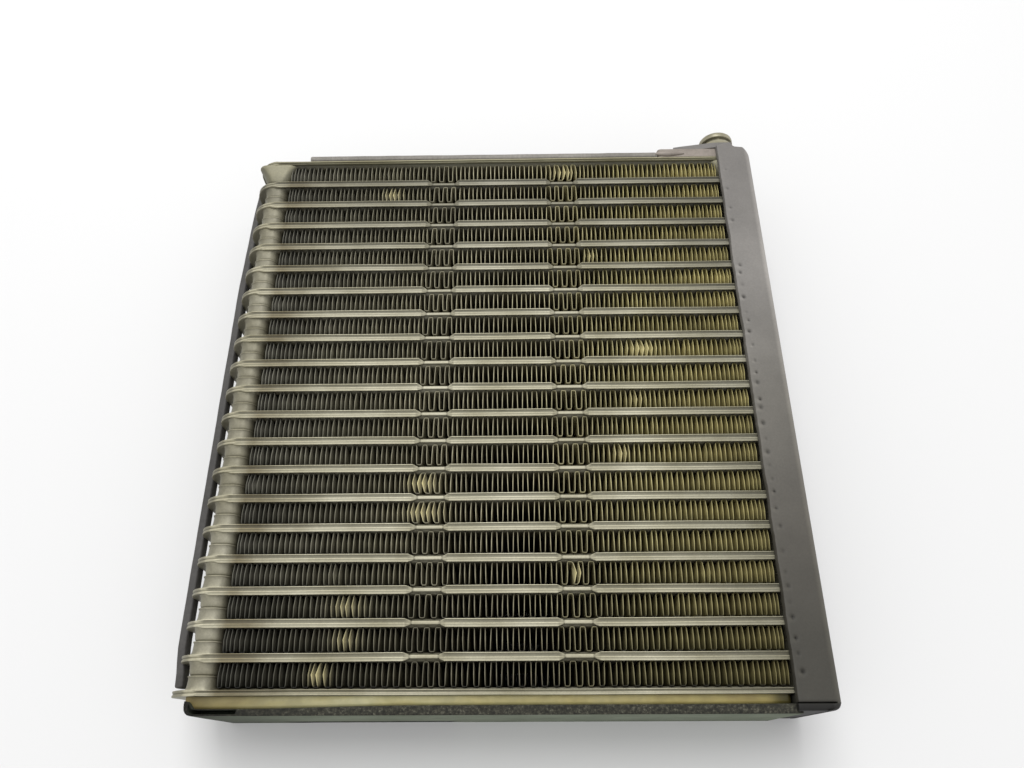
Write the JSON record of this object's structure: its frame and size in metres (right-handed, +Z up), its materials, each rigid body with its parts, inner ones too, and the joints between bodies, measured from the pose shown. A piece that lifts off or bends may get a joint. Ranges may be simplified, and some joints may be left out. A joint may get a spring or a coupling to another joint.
{
  "type": "evaporator core",
  "caption": "Laminated plate-and-fin evaporator core with tanks along both ends of the tubes, foam seals and collared pipe spigots.",
  "frame": {"origin": "middle of the footprint, on the surface the core lies on", "axes": "+X along the tubes to the foam-wrapped tank, +Y across the stack to the spigots, +Z up through the core to the air face in view"},
  "size_m": [0.221, 0.245, 0.046],
  "materials": {
    "plate": "brazed aluminium, dull",
    "fin": "coated thin aluminium sheet, dusty",
    "end_plate": "brazed aluminium, stained",
    "foam": "closed-cell foam, matte"
  },
  "bodies": {
    "root": {"tube_01": "plate", "tube_02": "plate", "tube_03": "plate", "tube_04": "plate", "tube_05": "plate", "tube_06": "plate", "tube_07": "plate", "tube_08": "plate", "tube_09": "plate", "tube_10": "plate", "tube_11": "plate", "tube_12": "plate", "tube_13": "plate", "tube_14": "plate", "tube_15": "plate", "tube_16": "plate", "tube_17": "plate", "tube_18": "plate", "tube_19": "plate", "fin_01": "fin", "fin_02": "fin", "fin_03": "fin", "fin_04": "fin", "fin_05": "fin", "fin_06": "fin", "fin_07": "fin", "fin_08": "fin", "fin_09": "fin", "fin_10": "fin", "fin_11": "fin", "fin_12": "fin", "fin_13": "fin", "fin_14": "fin", "fin_15": "fin", "fin_16": "fin", "fin_17": "fin", "fin_18": "fin", "fin_19": "fin", "fin_20": "fin", "near_end_plate": "end_plate", "near_passage": "end_plate", "far_end_plate": "end_plate", "tank_seal": "foam", "left_seal": "foam", "near_seal": "foam", "far_seal": "foam"}
  },
  "joints": []
}
